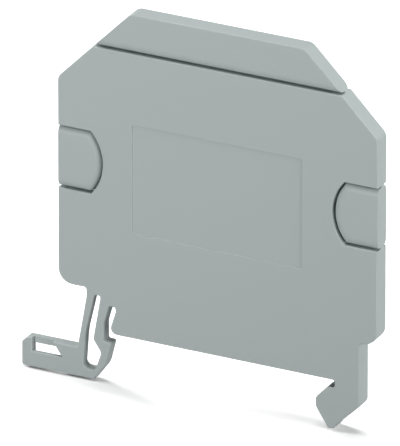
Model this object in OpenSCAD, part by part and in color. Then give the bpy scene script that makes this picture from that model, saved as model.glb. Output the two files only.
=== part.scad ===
// Partition plate for rail-mounted terminal blocks, moulded in one piece: a flat plate with
// break-out fields, and below it a fixed hook and a sprung latch foot that snap over a rail.
// X runs across the plate, Y through its thickness with the front face towards -Y, and
// Z upwards from the middle of the rail's top surface. All sizes are in millimetres.

/* [Plate] */
// Width of the plate
plate_w = 49; // [47:0.5:60]
// Height of the plate above the rail
plate_h = 48.7; // [46:0.1:64]
// Thickness of the plate
plate_t = 2.9; // [2.6:0.1:4]
// Width of each cut-off upper corner
slope_w = 11.2; // [6:0.1:13]
// Height of each cut-off upper corner
slope_h = 11.4; // [8:0.1:14]
// Rounding of the upper corners
corner_r = 1.5; // [0.5:0.1:2.5]
// Height of the lower side corners above the rail
shoulder_z = 6.3; // [6:0.1:9]
// Rounding of the lower side corners
shoulder_r = 2.1; // [0.5:0.1:2.3]

/* [Break-out fields] */
// Height of the strip along the top
strip_h = 5.9; // [4:0.1:7.5]
// Height of the field at each side
field_h = 9.4; // [7:0.1:12]
// Height of the side fields' centre above the rail
field_z = 25.3; // [18:0.1:28]
// Radius of a side field's round inner border, about a point on the side edge
field_r = 6.9; // [6.5:0.1:9]
// Depth of the fields below the plate's faces
field_sink = 0.06; // [0.04:0.02:0.1]
// Depth of the border groove in the front face
front_groove = 1.3; // [1:0.05:1.5]
// Depth of the border groove in the rear face
rear_groove = 0.8; // [0.75:0.05:0.9]
// Width of the grooves at their floor
groove_w = 0.26; // [0.16:0.02:0.4]
// Width of the rounded lip that leads from a field into its groove
lip_w = 1.1; // [0.4:0.05:1.3]
// Depth of that lip
lip_h = 0.64; // [0.2:0.02:0.64]

/* [Label panel] */
// Width of the panel
panel_w = 26; // [16:0.5:30]
// Height of the panel
panel_h = 16.3; // [10:0.1:20]
// Height of the panel's centre above the rail
panel_z = 24; // [20:0.1:27]
// Depth of the panel
panel_sink = 0.14; // [0.08:0.02:0.3]

/* [Rail] */
// Width of the rail
rail_w = 35; // [34:0.1:36]
// Play of the rail between the hook and the latch
rail_play = 0.5; // [0.2:0.05:1]
// Distance of the rail's middle from the plate's middle
rail_shift = 0.3; // [-1:0.1:1]
// Height of the hook's gap, which takes the rail's lip
hook_gap = 1.15; // [1.05:0.05:1.6]
// Height of the latch's gap, which takes the rail's lip
latch_gap = 1.35; // [1.1:0.05:1.6]

/* [Hook] */
// Width of the hook's leg beside the rail
hook_w = 3.8; // [3:0.1:5]
// How far the hook's lip reaches under the rail
hook_bite = 2.9; // [2:0.1:4]
// How far the hook reaches below the rail's top surface
hook_drop = 7.4; // [7:0.05:9]
// Width of the hook's blunt tip
tip_w = 0.95; // [0.6:0.05:1.2]

/* [Latch foot] */
// Thickness of the foot, flush with the plate's front face
foot_t = 1.75; // [1.5:0.05:2.3]
// Thickness of the inner leg, which holds the nose
inner_leg_t = 1.6; // [1.2:0.05:1.8]
// Thickness of the outer leg, halfway down
outer_leg_t = 0.85; // [0.7:0.05:1.2]
// Width of the slit between the legs, at the nose
slit_w = 1.25; // [1:0.05:1.6]
// How far the slit and the window are set outwards in the rear of the foot
rear_flare = 0.2; // [0.1:0.05:0.4]
// How far the legs lean outwards, from root to foot
leg_lean = 1.4; // [0.8:0.05:1.8]
// Height of the legs' roots above the rail
root_z = 5.4; // [4.8:0.1:5.6]
// How far the nose reaches under the rail
nose_bite = 1.2; // [0.8:0.05:1.6]
// Distance of the foot bar's end from the rail's edge
bar_reach = 12.8; // [11.5:0.1:16]
// Height of the foot bar
bar_h = 4.4; // [3.8:0.05:4.8]
// How far the foot bar reaches below the rail's top surface
bar_drop = 7.45; // [7.2:0.05:9]
// Cut-off corner of the foot bar
bar_cut = 0.8; // [0.4:0.05:1.2]

/* [Screwdriver window] */
// Distance of the window from the foot bar's end
window_end = 1.6; // [1.2:0.1:2.4]
// Length of the window at the top of the bar
window_len = 3.2; // [2.5:0.1:4]
// How much longer the window is at its floor
window_slant = 1.4; // [0.5:0.1:1.5]
// Height of the bridge over the window
bridge_h = 0.9; // [0.6:0.05:1.1]
// Height of the through opening under the bridge
window_h = 1.1; // [0.9:0.05:1.5]
// Thickness of the web in front, below the window
web_t = 0.65; // [0.5:0.05:0.9]

/* [Hidden] */

plate_grey = [0.64, 0.67, 0.665];
// Steps of each rounded corner
corner_steps = 6;
// Steps of the rounded lips
lip_steps = 6;
// How far cutting shapes run past the surfaces that they cut
over = 0.5;
// Rounding of inner corners, and of the small corners of the hook and foot
fillet_r = 0.4;
nick_r = 0.3;
// How far the front and rear cuts of the slit and the window run into each other
shut_off = 0.04;

front_y = -plate_t / 2;
rear_y = plate_t / 2;
side_x = plate_w / 2;
slope_z = plate_h - slope_h;
strip_z = plate_h - strip_h;

// The rail's two edges, with the play shared between them
hook_wall = rail_shift + (rail_w + rail_play) / 2;
latch_wall = rail_shift - (rail_w + rail_play) / 2;

function unit(v) = v / norm(v);

// The arc that rounds the corner p between its neighbours a and b with radius p[2]
function rounded_corner(a, p, b) =
    let (
        corner = [p.x, p.y],
        u = unit([a.x, a.y] - corner),
        v = unit([b.x, b.y] - corner),
        half = acos(u * v) / 2,
        centre = corner + unit(u + v) * p[2] / sin(half),
        first = corner + u * p[2] / tan(half) - centre,
        start = atan2(first.y, first.x),
        turn = (180 - 2 * half) * sign(cross(v, u))
    )
    [for (i = [0:corner_steps])
        let (angle = start + turn * i / corner_steps)
        centre + p[2] * [cos(angle), sin(angle)]];

// An outline from corners [x, z, radius], counter-clockwise as seen from the front
function rounded(corners) =
    let (n = len(corners))
    [for (i = [0:n - 1])
        let (p = corners[i])
        each p[2] > 0
            ? rounded_corner(corners[(i + n - 1) % n], p, corners[(i + 1) % n])
            : [[p.x, p.y]]];

// A flat shape with the outline in X and Z, between two depths in Y
module sheet(outline, y0, y1) {
    translate([0, y1, 0])
        rotate([90, 0, 0])
            linear_extrude(y1 - y0)
                polygon(outline);
}

// A bar along X with a section of [y, z] points, between two places in X
module bar(section, x0, x1) {
    translate([x0, 0, 0])
        rotate([90, 0, 90])
            linear_extrude(x1 - x0)
                polygon(section);
}

// The hook's corners, from the top of its gap round its tip and up to the right shoulder
lip_x = hook_wall - hook_bite;
tip_x = hook_wall - tip_w - 0.1;
neck_z = 0.6 - hook_drop;
hook_x = hook_wall + hook_w;
hook_corners = [
    [hook_wall, 0, nick_r],
    [hook_wall, -hook_gap, nick_r],
    [tip_x, -hook_gap, 0.8],
    [lip_x, -hook_gap - 1.95, 1],
    [lip_x, -hook_gap - 3.3, 1.4],
    [tip_x - nick_r, neck_z, fillet_r],
    [tip_x, -hook_drop, nick_r],
    [tip_x + tip_w, -hook_drop, nick_r],
    [tip_x + tip_w + nick_r, neck_z, fillet_r],
    [hook_x, neck_z + 0.9 * (hook_x - tip_x - tip_w), 1.2],
    [hook_x, shoulder_z, fillet_r]
];

// The upper plate's corners, from the right shoulder over the top to the left shoulder
top_corners = [
    [side_x, shoulder_z, shoulder_r],
    [side_x, slope_z, corner_r],
    [side_x - slope_w, plate_h, corner_r],
    [slope_w - side_x, plate_h, corner_r],
    [-side_x, slope_z, corner_r],
    [-side_x, shoulder_z, shoulder_r]
];

// The latch foot's corners: outer leg, foot bar, nose, inner leg and the slit beside the plate.
// The slit between the legs bends halfway down.
bar_x = latch_wall - bar_reach;
bar_top = bar_h - bar_drop;
slit_x = latch_wall - inner_leg_t;
bend_z = -0.5;
bend_x = slit_x - slit_w;
leg_top = root_z - 0.5;
outer_x = bend_x - outer_leg_t + leg_lean * (leg_top - bend_z) / (leg_top - bar_top);
slit_top = root_z - 1.25;
bed_top_x = latch_wall + 1.75;
foot_corners = [
    [outer_x, shoulder_z, fillet_r],
    [outer_x, leg_top, 4],
    [outer_x - leg_lean, bar_top, fillet_r],
    [bar_x + bar_cut, bar_top, fillet_r],
    [bar_x, bar_top - bar_cut, fillet_r],
    [bar_x, -bar_drop, fillet_r],
    [slit_x, -bar_drop, fillet_r],
    [latch_wall + 0.3, -latch_gap - 3.5, 3],
    [latch_wall + nose_bite, -latch_gap, nick_r],
    [latch_wall, -latch_gap, nick_r],
    [latch_wall, root_z - 4, 4],
    [latch_wall + 0.8, slit_top, fillet_r],
    [bed_top_x, slit_top, fillet_r],
    [bed_top_x, slit_top - 0.8, 0.8],
    [latch_wall + 0.7, 0, 0.9]
];
plate_outline = rounded(concat(hook_corners, top_corners, foot_corners));

// The slit that parts the two legs
slit_outline = rounded([
    [bend_x + leg_lean, root_z, nick_r],
    [bend_x, bend_z, 13],
    [bend_x - 0.4, 1.45 - bar_drop, 0.75],
    [slit_x + 0.2, 1.45 - bar_drop, 0.75],
    [slit_x + 1.15, -latch_gap - 1.85, 0.8],
    [slit_x - 0.1, -latch_gap, 0.8],
    [slit_x + 1.05, root_z, nick_r]
]);

// The space behind the latch foot, which is thinner than the plate. Its right border runs
// through the rail's gap and the slit beside the plate.
thin_outline = [
    [bar_x - over, -bar_drop - over],
    [latch_wall + nose_bite + over, -bar_drop - over],
    [latch_wall + nose_bite + over, -latch_gap / 2],
    [latch_wall + 0.45, -latch_gap / 2],
    [latch_wall + 0.45, root_z - 4],
    [latch_wall + 1.12, slit_top - fillet_r],
    [latch_wall + 1.12, root_z + over],
    [bar_x - over, root_z + over]
];

// The window that takes a screwdriver: a pocket from the front that is open upwards, and
// one from the rear that is open downwards, meet under the bridge
window_x = bar_x + window_end;
window_floor = bar_top - bridge_h - window_h;
window_far = window_x + window_len + window_slant;
window_lean = window_slant / (bridge_h + window_h);
front_pocket = [
    [window_x, window_floor],
    [window_far, window_floor],
    [window_x + window_len - window_lean * over, bar_top + over],
    [window_x, bar_top + over]
];
rear_pocket = [
    [window_x - rear_flare, -bar_drop - over],
    [window_far, -bar_drop - over],
    [window_far, bar_top - bridge_h],
    [window_x - rear_flare, bar_top - bridge_h]
];

// The border of a field: the groove along its wall and the rounded lip up to the field, a
// quarter of an ellipse, as points [distance from the wall, depth]
function border(groove) = concat(
    [[0, groove], [groove_w, groove]],
    [for (i = [0:lip_steps])
        let (angle = 90 * i / lip_steps)
        [groove_w + lip_w * (1 - cos(angle)), field_sink + lip_h * (1 - sin(angle))]]
);

// The cut that parts off the strip along the top. Depths are counted from the front face.
module strip_cut(groove) {
    section = concat(
        [[front_y - over, strip_z]],
        [for (p = border(groove)) [front_y + p[1], strip_z + p[0]]],
        [[front_y + field_sink, plate_h + over], [front_y - over, plate_h + over]]
    );
    bar(section, -side_x, side_x);
}

// The cut that parts off the right-hand field: a band with a round inner border, less the
// field's raised middle
module field_cut(groove) {
    half = field_h / 2;
    rim = [for (p = border(groove + over)) if (p[0] > 0) p];
    upper = [for (p = rim) [front_y + p[1], field_z + half - p[0]]];
    lower = [for (i = [len(rim) - 1:-1:0]) [front_y + rim[i][1], field_z - half + rim[i][0]]];
    turned = concat(
        [[0, groove + over]],
        [for (p = rim) [field_r - p[0], p[1]]],
        [[0, field_sink]]
    );
    difference() {
        intersection() {
            translate([side_x - field_r - over, front_y - over, field_z - half])
                cube([field_r + 2 * over, groove + over, field_h]);
            translate([side_x, front_y - 2 * over, field_z])
                rotate([-90, 0, 0])
                    cylinder(r = field_r, h = groove + 4 * over, $fn = 96);
        }
        intersection() {
            bar(concat(upper, lower), side_x - field_r, side_x + 2 * over);
            translate([side_x, front_y, field_z])
                rotate([-90, 0, 0])
                    rotate_extrude($fn = 96)
                        polygon(turned);
        }
    }
}

module field_cuts(groove) {
    strip_cut(groove);
    field_cut(groove);
    mirror([1, 0, 0])
        field_cut(groove);
}

// The bare sunk panel for a label
module label_panel() {
    x = panel_w / 2;
    z = panel_h / 2;
    corners = [
        [-x, panel_z - z, nick_r],
        [x, panel_z - z, nick_r],
        [x, panel_z + z, nick_r],
        [-x, panel_z + z, nick_r]
    ];
    sheet(rounded(corners), front_y - over, front_y + panel_sink);
}

module latch_cuts() {
    sheet(slit_outline, front_y - over, front_y + foot_t / 2 + shut_off);
    translate([-rear_flare, 0, 0])
        sheet(slit_outline, front_y + foot_t / 2, rear_y + over);
    sheet(thin_outline, front_y + foot_t, rear_y + over);
    sheet(front_pocket, front_y - over, front_y + web_t + shut_off);
    sheet(rear_pocket, front_y + web_t, rear_y + over);
}

// The whole moulding, with its origin in the middle of the rail's top surface
module partition_plate() {
    color(plate_grey)
        translate([-rail_shift, 0, 0])
            difference() {
                sheet(plate_outline, front_y, rear_y);
                field_cuts(front_groove);
                mirror([0, 1, 0])
                    field_cuts(rear_groove);
                label_panel();
                latch_cuts();
            }
}

partition_plate();
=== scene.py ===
"""Partition plate for rail-mounted terminal blocks: its finish, and a white studio round it.

The moulding is one piece of matt grey plastic that stands on white paper. Soft boxes light it
low from the front left, from above and from the right, with a fill from the left and behind.
The camera looks down on its front, a little from the right.
"""
import math

import bmesh
import bpy
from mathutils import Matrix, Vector


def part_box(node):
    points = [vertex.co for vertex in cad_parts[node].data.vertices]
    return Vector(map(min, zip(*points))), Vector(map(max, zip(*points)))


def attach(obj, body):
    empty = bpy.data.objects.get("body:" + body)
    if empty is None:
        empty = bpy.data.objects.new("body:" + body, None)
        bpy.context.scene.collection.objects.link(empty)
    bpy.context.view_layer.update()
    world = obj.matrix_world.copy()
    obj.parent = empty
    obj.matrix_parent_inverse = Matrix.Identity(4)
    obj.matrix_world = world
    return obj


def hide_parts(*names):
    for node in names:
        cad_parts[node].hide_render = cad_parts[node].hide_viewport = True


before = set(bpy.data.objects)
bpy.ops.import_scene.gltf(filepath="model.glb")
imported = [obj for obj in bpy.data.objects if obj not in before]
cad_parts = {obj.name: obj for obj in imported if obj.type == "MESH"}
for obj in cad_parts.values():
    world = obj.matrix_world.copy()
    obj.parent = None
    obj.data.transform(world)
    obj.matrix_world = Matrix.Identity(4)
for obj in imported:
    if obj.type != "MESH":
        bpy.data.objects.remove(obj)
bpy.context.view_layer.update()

MM = 0.001
NODE = "partition_plate"

# The picture, in pixels
IMAGE_W = 400
IMAGE_H = 446

# Where the camera stands: degrees right of the front, degrees above the floor, metres away
CAMERA_AZIMUTH = 26.6
CAMERA_ELEVATION = 24.0
CAMERA_DISTANCE = 2.2
# Scale of the picture at the plate, and the point of the front face at the picture's middle
PIXELS_PER_MM = 7.275
AIM_X = -2.875 * MM
AIM_Z = 19.575 * MM
# Width of the sensor in millimetres, and how far the camera sees, in metres
SENSOR = 36.0
SIGHT = 8.8

# The grey of the plastic, and how far the pigment strays from it in broad clouds
PLASTIC_GREY = (0.383, 0.430, 0.424, 1.0)
PLASTIC_PALE = (0.395, 0.442, 0.436, 1.0)
CLOUD_SIZE = 9.0 * MM
CLOUD_DETAIL = 3
# Its gloss: the roughness in the dark and in the pale clouds, and the strength of reflections
ROUGHNESS_GREY = 0.50
ROUGHNESS_PALE = 0.62
SPECULAR = 0.35
# The fine matt grain left by the mould
GRAIN_SIZE = 0.12 * MM
GRAIN_DETAIL = 2
GRAIN_HEIGHT = 0.02 * MM
GRAIN_STRENGTH = 0.12

# The paper's white for the eye, bright enough to burn out faint shadows, and as a reflector
PAPER_WHITE = 1.27
PAPER_BOUNCE = 0.1
# The paper lies a hair below the part, which leaves a dark joint under the foot bar
PAPER_GAP = 0.28 * MM
# Half the side of the paper in metres: farther out the lamps no longer keep it white
PAPER_HALF = 0.33
# The sky as a light, and for the eye
SKY_LEVEL = 0.02
SKY_WHITE = 1.0
# The soft boxes: name, direction, distance and size in metres, and level
SOFT_BOXES = [
    ("key_box", (-0.35, -1.0, 0.02), 0.40, 0.14, 0.85),
    ("top_box", (-0.02, 0.0, 1.0), 0.50, 0.34, 0.83),
    ("right_box", (1.0, -0.12, 0.2), 0.55, 0.35, 0.95),
    ("back_box", (-1.0, 0.42, 0.42), 0.50, 0.16, 0.78),
]

# Rounding of the mould's edges, and of those of the panel, whose walls are shallow
EDGE_RADIUS = 0.18 * MM
EDGE_SEGMENTS = 3
PANEL_RADIUS = 0.1 * MM
SHALLOW = 0.3 * MM
# A step in a wall that is no broader than this keeps its sharp edges
LEDGE = 0.35 * MM
# A face is a wall if its normal has no more than this towards the front or the rear
WALL_LEAN = 0.2
# Faces that meet at more than CREASE have an edge between them, and below FLAT they are one
CREASE = math.radians(35)
FLAT = math.radians(0.2)
# Vertices closer than this are one
MERGE = 0.002 * MM


def merged_copy(node, name):
    """A copy of a CAD node's mesh with its doubles merged and its flat faces made whole."""
    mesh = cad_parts[node].data.copy()
    mesh.name = name
    shape = bmesh.new()
    shape.from_mesh(mesh)
    bmesh.ops.remove_doubles(shape, verts=shape.verts, dist=MERGE)
    bmesh.ops.dissolve_limit(shape, angle_limit=FLAT, verts=shape.verts, edges=shape.edges)
    shape.to_mesh(mesh)
    shape.free()
    mesh.materials.clear()
    piece = bpy.data.objects.new(name, mesh)
    bpy.context.scene.collection.objects.link(piece)
    return piece


def wall_depth(face):
    """How deep a wall goes through the plate's thickness, or 0 for a face that isn't a wall."""
    if abs(face.normal.y) > WALL_LEAN:
        return 0.0
    depths = [vertex.co.y for vertex in face.verts]
    return max(depths) - min(depths)


def breadth(face):
    """The breadth of a long narrow face: twice its area over its way round."""
    return 2 * face.calc_area() / face.calc_perimeter()


def round_edges(piece):
    """Rounds the outer edges between the walls and the flat faces."""
    mesh = piece.data
    shape = bmesh.new()
    shape.from_mesh(mesh)
    weight = shape.edges.layers.float.new("bevel_weight_edge")
    for edge in shape.edges:
        if edge.calc_face_angle() < CREASE or not edge.is_convex:
            continue
        depth = max(wall_depth(face) for face in edge.link_faces)
        flats = [breadth(face) for face in edge.link_faces if wall_depth(face) == 0]
        along_wall = abs(edge.verts[0].co.y - edge.verts[1].co.y) > MERGE
        if depth > 0 and min(flats, default=0) > LEDGE and not along_wall:
            edge[weight] = PANEL_RADIUS / EDGE_RADIUS if depth < SHALLOW else 1.0
    shape.to_mesh(mesh)
    shape.free()
    bevel = piece.modifiers.new("rounded_edges", "BEVEL")
    bevel.limit_method = "WEIGHT"
    bevel.width = EDGE_RADIUS
    bevel.segments = EDGE_SEGMENTS
    bevel.use_clamp_overlap = False
    bevel.loop_slide = False
    whole = piece.evaluated_get(bpy.context.evaluated_depsgraph_get())
    piece.data = bpy.data.meshes.new_from_object(whole)
    piece.modifiers.clear()


def shade_flat_faces(piece):
    """Smooth shading that leaves flat faces flat and the unrounded edges sharp."""
    shape = bmesh.new()
    shape.from_mesh(piece.data)
    # The rounding leaves a few doubles
    bmesh.ops.remove_doubles(shape, verts=shape.verts, dist=MERGE)
    for edge in shape.edges:
        edge.smooth = edge.calc_face_angle() < CREASE
    for face in shape.faces:
        face.smooth = True
    shape.to_mesh(piece.data)
    shape.free()
    normals = piece.modifiers.new("flat_faces", "WEIGHTED_NORMAL")
    normals.keep_sharp = True


def moulded_plastic():
    """Matt grey plastic: pigment clouds in the colour, and a fine mould grain in the relief."""
    material = bpy.data.materials.new("moulded_plastic")
    material.use_nodes = True
    tree = material.node_tree
    shader = tree.nodes["Principled BSDF"]
    place = tree.nodes.new("ShaderNodeTexCoord")

    clouds = tree.nodes.new("ShaderNodeTexNoise")
    clouds.inputs["Scale"].default_value = 1 / CLOUD_SIZE
    clouds.inputs["Detail"].default_value = CLOUD_DETAIL
    pigment = tree.nodes.new("ShaderNodeMix")
    pigment.data_type = "RGBA"
    colours = [s for s in pigment.inputs if s.type == "RGBA"]
    colours[0].default_value = PLASTIC_GREY
    colours[1].default_value = PLASTIC_PALE
    mixed = [s for s in pigment.outputs if s.type == "RGBA"][0]
    sheen = tree.nodes.new("ShaderNodeMapRange")
    sheen.inputs["To Min"].default_value = ROUGHNESS_GREY
    sheen.inputs["To Max"].default_value = ROUGHNESS_PALE

    grain = tree.nodes.new("ShaderNodeTexNoise")
    grain.inputs["Scale"].default_value = 1 / GRAIN_SIZE
    grain.inputs["Detail"].default_value = GRAIN_DETAIL
    relief = tree.nodes.new("ShaderNodeBump")
    relief.inputs["Strength"].default_value = GRAIN_STRENGTH
    relief.inputs["Distance"].default_value = GRAIN_HEIGHT

    link = tree.links.new
    link(place.outputs["Object"], clouds.inputs["Vector"])
    link(place.outputs["Object"], grain.inputs["Vector"])
    link(clouds.outputs["Fac"], pigment.inputs["Factor"])
    link(mixed, shader.inputs["Base Color"])
    link(grain.outputs["Fac"], relief.inputs["Height"])
    link(relief.outputs["Normal"], shader.inputs["Normal"])
    link(clouds.outputs["Fac"], sheen.inputs["Value"])
    link(sheen.outputs["Result"], shader.inputs["Roughness"])
    shader.inputs["Specular IOR Level"].default_value = SPECULAR
    return material


def floor_paper():
    """White paper, bright for the eye and dull as a reflector, which keeps the hollows dark."""
    material = bpy.data.materials.new("floor_paper")
    material.use_nodes = True
    tree = material.node_tree
    tree.nodes.clear()
    output = tree.nodes.new("ShaderNodeOutputMaterial")
    paper = tree.nodes.new("ShaderNodeBsdfDiffuse")
    rays = tree.nodes.new("ShaderNodeLightPath")
    seen = tree.nodes.new("ShaderNodeMath")
    seen.operation = "MAXIMUM"
    white = tree.nodes.new("ShaderNodeMapRange")
    white.inputs["To Min"].default_value = PAPER_BOUNCE
    white.inputs["To Max"].default_value = PAPER_WHITE
    link = tree.links.new
    link(rays.outputs["Is Camera Ray"], seen.inputs[0])
    link(rays.outputs["Is Glossy Ray"], seen.inputs[1])
    link(seen.outputs[0], white.inputs["Value"])
    link(white.outputs["Result"], paper.inputs["Color"])
    link(paper.outputs[0], output.inputs["Surface"])
    return material


def build_floor(half, z):
    """A flat square of paper at the height z, with half its side given."""
    mesh = bpy.data.meshes.new("floor")
    corners = [(-half, -half, z), (half, -half, z), (half, half, z), (-half, half, z)]
    mesh.from_pydata(corners, [], [(0, 1, 2, 3)])
    mesh.materials.append(floor_paper())
    floor = bpy.data.objects.new("floor", mesh)
    bpy.context.scene.collection.objects.link(floor)


def build_sky():
    """An even white sky all round, faint as a light and white for the eye."""
    world = bpy.data.worlds.new("studio")
    world.use_nodes = True
    sky = world.node_tree.nodes["Background"]
    sky.inputs["Color"].default_value = (1, 1, 1, 1)
    rays = world.node_tree.nodes.new("ShaderNodeLightPath")
    mix = world.node_tree.nodes.new("ShaderNodeMix")
    mix.inputs["A"].default_value = SKY_LEVEL
    mix.inputs["B"].default_value = SKY_WHITE
    world.node_tree.links.new(rays.outputs["Is Camera Ray"], mix.inputs["Factor"])
    world.node_tree.links.new(mix.outputs["Result"], sky.inputs["Strength"])
    bpy.context.scene.world = world


def soft_box(name, aim, direction, distance, size, level):
    """A square soft box that lights a white face turned towards it to the given level."""
    lamp = bpy.data.lights.new(name, "AREA")
    lamp.size = size
    lamp.energy = level * (math.pi * distance) ** 2
    toward = Vector(direction).normalized()
    holder = bpy.data.objects.new(name, lamp)
    holder.location = aim + toward * distance
    holder.rotation_mode = "QUATERNION"
    holder.rotation_quaternion = (-toward).to_track_quat("-Z", "Y")
    bpy.context.scene.collection.objects.link(holder)


def build_camera(front_y):
    """A long lens that looks down on the plate's front, a little from the right."""
    azimuth = math.radians(CAMERA_AZIMUTH)
    elevation = math.radians(CAMERA_ELEVATION)
    back = Vector((
        math.sin(azimuth) * math.cos(elevation),
        -math.cos(azimuth) * math.cos(elevation),
        math.sin(elevation),
    ))
    lens = bpy.data.cameras.new("camera")
    lens.sensor_width = SENSOR
    lens.lens = PIXELS_PER_MM / MM * CAMERA_DISTANCE * SENSOR / max(IMAGE_W, IMAGE_H)
    lens.clip_end = SIGHT
    camera = bpy.data.objects.new("camera", lens)
    aim = Vector((AIM_X, front_y, AIM_Z))
    camera.location = aim + back * CAMERA_DISTANCE
    camera.rotation_mode = "QUATERNION"
    camera.rotation_quaternion = (-back).to_track_quat("-Z", "Y")
    bpy.context.scene.collection.objects.link(camera)
    bpy.context.scene.camera = camera


low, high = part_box(NODE)
bpy.context.scene.view_settings.view_transform = "Standard"
build_camera(low.y)

plate = merged_copy(NODE, "plate_moulding")
round_edges(plate)
shade_flat_faces(plate)
plate.data.materials.append(moulded_plastic())
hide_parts(NODE)
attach(plate, "root")

build_floor(PAPER_HALF, low.z - PAPER_GAP)
build_sky()
middle = (low + high) / 2
for name, direction, distance, size, level in SOFT_BOXES:
    soft_box(name, middle, direction, distance, size, level)
